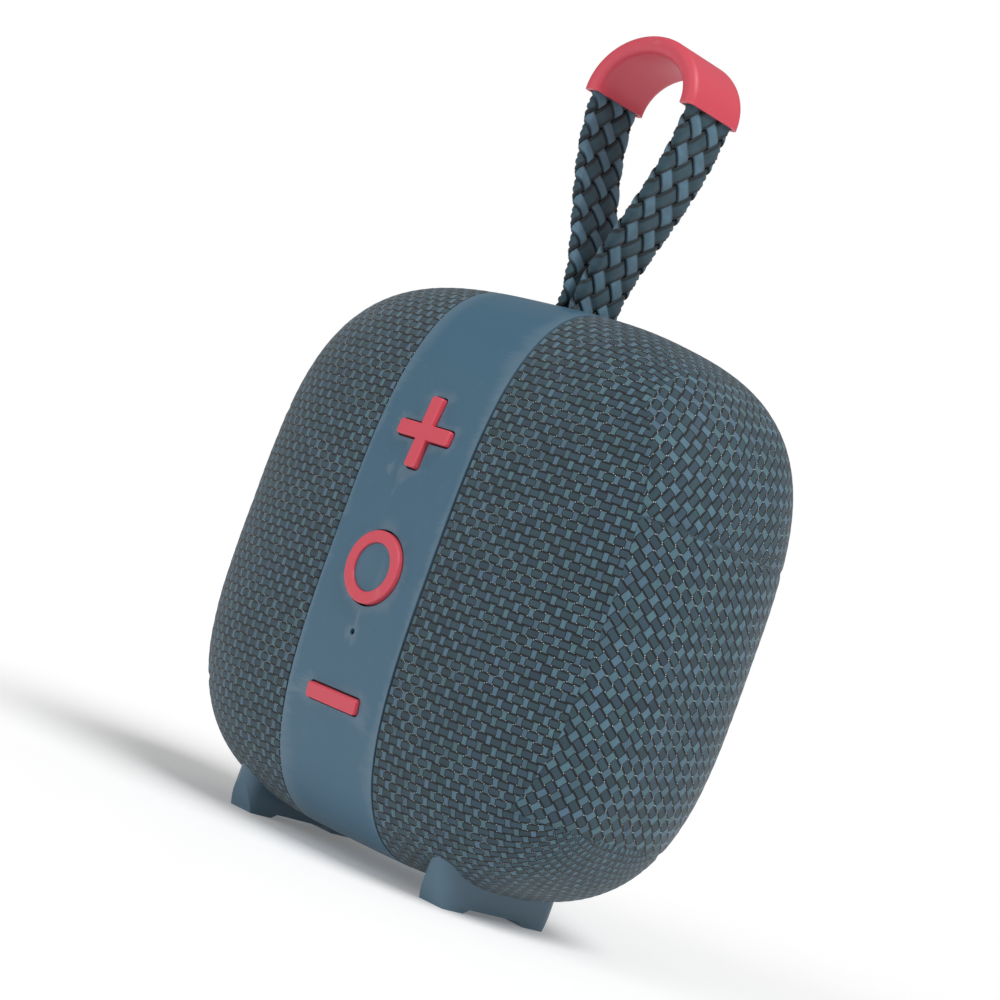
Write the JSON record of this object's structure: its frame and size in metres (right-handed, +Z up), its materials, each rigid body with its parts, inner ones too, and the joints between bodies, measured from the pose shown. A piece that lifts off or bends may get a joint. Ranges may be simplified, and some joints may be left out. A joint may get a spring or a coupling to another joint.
{
  "type": "portable wireless speaker",
  "caption": "Pocket wireless speaker: woven cheeks either side of a rubber control band with raised press keys, drivers and passive radiators inside, runner feet and a gripped carry loop.",
  "frame": {"origin": "on the floor midway between the feet, under the middle of the body", "axes": "+X to the right across the front, the front with its keys faces -Y, +Z up"},
  "size_m": [0.1056, 0.0544, 0.1531],
  "materials": {
    "cheek_fabric": "plain weave of two blue-green threads, matte",
    "band_rubber": "moulded silicone, satin",
    "foot_rubber": "moulded rubber, matte",
    "key_red": "moulded silicone, satin",
    "key_blue": "moulded silicone, satin",
    "strap_braid": "flat braid of two blue strands, matte",
    "grip_red": "moulded silicone, satin",
    "steel": "nickel plated, satin",
    "housing_plastic": "moulded, fine grain",
    "grille_metal": "powder coated, fine texture",
    "seal_foam": "closed cell foam",
    "magnet_iron": "zinc plated, dull",
    "copper_wire": "enamelled wire winding",
    "cone_paper": "pressed fibre, matte",
    "surround_rubber": "moulded, satin",
    "spider_cloth": "impregnated cloth",
    "plate_metal": "spun, satin",
    "circuit_board": "solder mask, satin",
    "chip_black": "moulded, satin",
    "module_shield": "tinned can",
    "cell_wrap": "heat-shrunk sleeve, gloss",
    "lead_sheath": "wire sleeve, satin",
    "flex_film": "polyimide film"
  },
  "bodies": {
    "body": {"fabric_left": "cheek_fabric", "fabric_right": "cheek_fabric", "control_band": "band_rubber", "foot_left": "foot_rubber", "foot_right": "foot_rubber", "strap_root": "strap_braid", "strap_pin": "steel", "housing_screws": "steel", "board_screws": "steel", "usb_socket": "steel", "front_housing": "housing_plastic", "rear_housing": "housing_plastic", "battery_cradle": "housing_plastic", "driver_clamp_left": "housing_plastic", "driver_clamp_right": "housing_plastic", "radiator_frame_left": "housing_plastic", "radiator_frame_right": "housing_plastic", "grille_left": "grille_metal", "grille_right": "grille_metal", "driver_basket_left": "grille_metal", "driver_basket_right": "grille_metal", "housing_gasket": "seal_foam", "driver_gasket_left": "seal_foam", "driver_gasket_right": "seal_foam", "driver_magnet_left": "magnet_iron", "driver_magnet_right": "magnet_iron", "surround_left": "surround_rubber", "surround_right": "surround_rubber", "radiator_surround_left": "surround_rubber", "radiator_surround_right": "surround_rubber", "spider_left": "spider_cloth", "spider_right": "spider_cloth", "key_board": "circuit_board", "main_board": "circuit_board", "port_board": "circuit_board", "amplifier_chip": "chip_black", "key_switches": "chip_black", "microphone": "chip_black", "radio_module": "module_shield", "battery_cell": "cell_wrap", "battery_lead": "lead_sheath", "driver_leads": "lead_sheath", "key_flex": "flex_film"},
    "plus_key": {"plus_key": "key_red"},
    "minus_key": {"minus_key": "key_red"},
    "play_key": {"play_core": "key_blue", "play_ring": "key_red"},
    "port_flap": {"port_flap": "band_rubber"},
    "carry_loop": {"strap_loop": "strap_braid", "strap_grip": "grip_red"},
    "cone_left": {"cone_left": "cone_paper", "dust_cap_left": "cone_paper", "voice_coil_left": "copper_wire"},
    "radiator_left": {"radiator_plate_left": "plate_metal"},
    "cone_right": {"cone_right": "cone_paper", "dust_cap_right": "cone_paper", "voice_coil_right": "copper_wire"},
    "radiator_right": {"radiator_plate_right": "plate_metal"}
  },
  "joints": [
    {"name": "plus_press", "type": "slide", "parent": "body", "child": "plus_key", "axis": [0, 0.9961, -0.0877], "range_m": [0, 0.0005], "stiffness_N_per_m": 1500},
    {"name": "play_press", "type": "slide", "parent": "body", "child": "play_key", "axis": [0, 1, 0.0033], "range_m": [0, 0.0005], "stiffness_N_per_m": 1500},
    {"name": "minus_press", "type": "slide", "parent": "body", "child": "minus_key", "axis": [0, 0.9858, 0.1678], "range_m": [0, 0.0005], "stiffness_N_per_m": 1500},
    {"name": "port_flap_hinge", "type": "hinge", "parent": "body", "child": "port_flap", "pos_m": [0, 0.02483, 0.02627], "axis": [-1, 0, 0], "range_deg": [0, 100]},
    {"name": "carry_loop_swing", "type": "hinge", "parent": "body", "child": "carry_loop", "pos_m": [0, 0, 0.1035], "axis": [0, 1, 0], "range_deg": [-55, 55], "stiffness_Nm_per_rad": 0.02},
    {"name": "cone_left_slide", "type": "slide", "parent": "body", "child": "cone_left", "axis": [0, -1, 0], "range_m": [-0.001, 0.001], "stiffness_N_per_m": 1500, "deforming": ["surround_left", "spider_left"]},
    {"name": "radiator_left_slide", "type": "slide", "parent": "body", "child": "radiator_left", "axis": [0, 1, 0], "range_m": [-0.0015, 0.0015], "stiffness_N_per_m": 1200, "deforming": ["radiator_surround_left"]},
    {"name": "cone_right_slide", "type": "slide", "parent": "body", "child": "cone_right", "axis": [0, -1, 0], "range_m": [-0.001, 0.001], "stiffness_N_per_m": 1500, "deforming": ["surround_right", "spider_right"]},
    {"name": "radiator_right_slide", "type": "slide", "parent": "body", "child": "radiator_right", "axis": [0, 1, 0], "range_m": [-0.0015, 0.0015], "stiffness_N_per_m": 1200, "deforming": ["radiator_surround_right"]}
  ]
}
